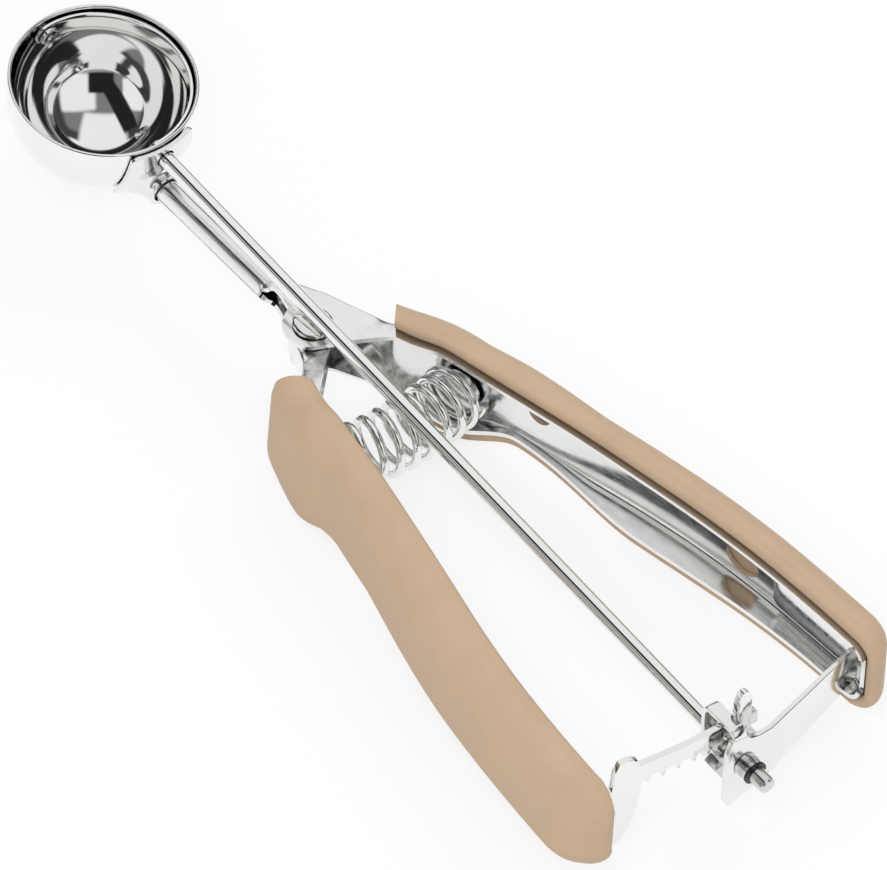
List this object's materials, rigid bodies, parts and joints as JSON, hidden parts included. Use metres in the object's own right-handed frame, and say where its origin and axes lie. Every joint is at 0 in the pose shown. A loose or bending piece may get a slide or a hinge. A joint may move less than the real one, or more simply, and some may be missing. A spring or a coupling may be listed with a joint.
{
  "type": "ice cream scoop",
  "caption": "Ice cream scoop with a squeeze lever: a rack and pinion turn a rod that sweeps a scraper round the half-round bowl.",
  "frame": {"origin": "centre of the flat tail face of the main pivot rivet, underneath the two handles", "axes": "+X from the pivot along the rod's plane to the ends of the grips, +Y to the fixed handle, +Z from the rivet's tail to its head, the side to which the bowl is open"},
  "size_m": [0.2173, 0.077, 0.0305],
  "materials": {
    "mirror_steel": "mirror polished",
    "steel": "polished",
    "dark_steel": "blackened",
    "tan_grip": "matte"
  },
  "bodies": {
    "fixed_handle": {"bowl": "mirror_steel", "front_rivet": "mirror_steel", "saddle": "steel", "handle_frame": "steel", "right_grip": "tan_grip", "pivot_rivet": "mirror_steel", "pivot_sleeve": "steel", "end_bracket": "mirror_steel", "frame_spring_seat": "steel", "spring": "mirror_steel"},
    "lever": {"lever_frame": "steel", "left_grip": "tan_grip", "rack": "mirror_steel", "lever_spring_seat": "steel"},
    "rod": {"rod": "mirror_steel", "pinion": "steel", "thrust_washer": "steel", "retaining_ring": "dark_steel", "scraper": "mirror_steel"}
  },
  "joints": [
    {"name": "lever_pivot", "type": "hinge", "parent": "fixed_handle", "child": "lever", "pos_m": [0, 0, 0.0057], "axis": [0, 0, 1], "range_deg": [0, 6.85], "stiffness_Nm_per_rad": 4, "springref_deg": -6.88, "deforming": ["spring"]},
    {"name": "rod_turn", "type": "hinge", "parent": "fixed_handle", "child": "rod", "pos_m": [0.1298, 0, 0.0057], "axis": [-0.9982, 0, 0.0602], "range_deg": [0, 180]}
  ],
  "couplings": [
    {"joint": "rod_turn", "follows": "lever_pivot", "ratio": 26.01}
  ]
}
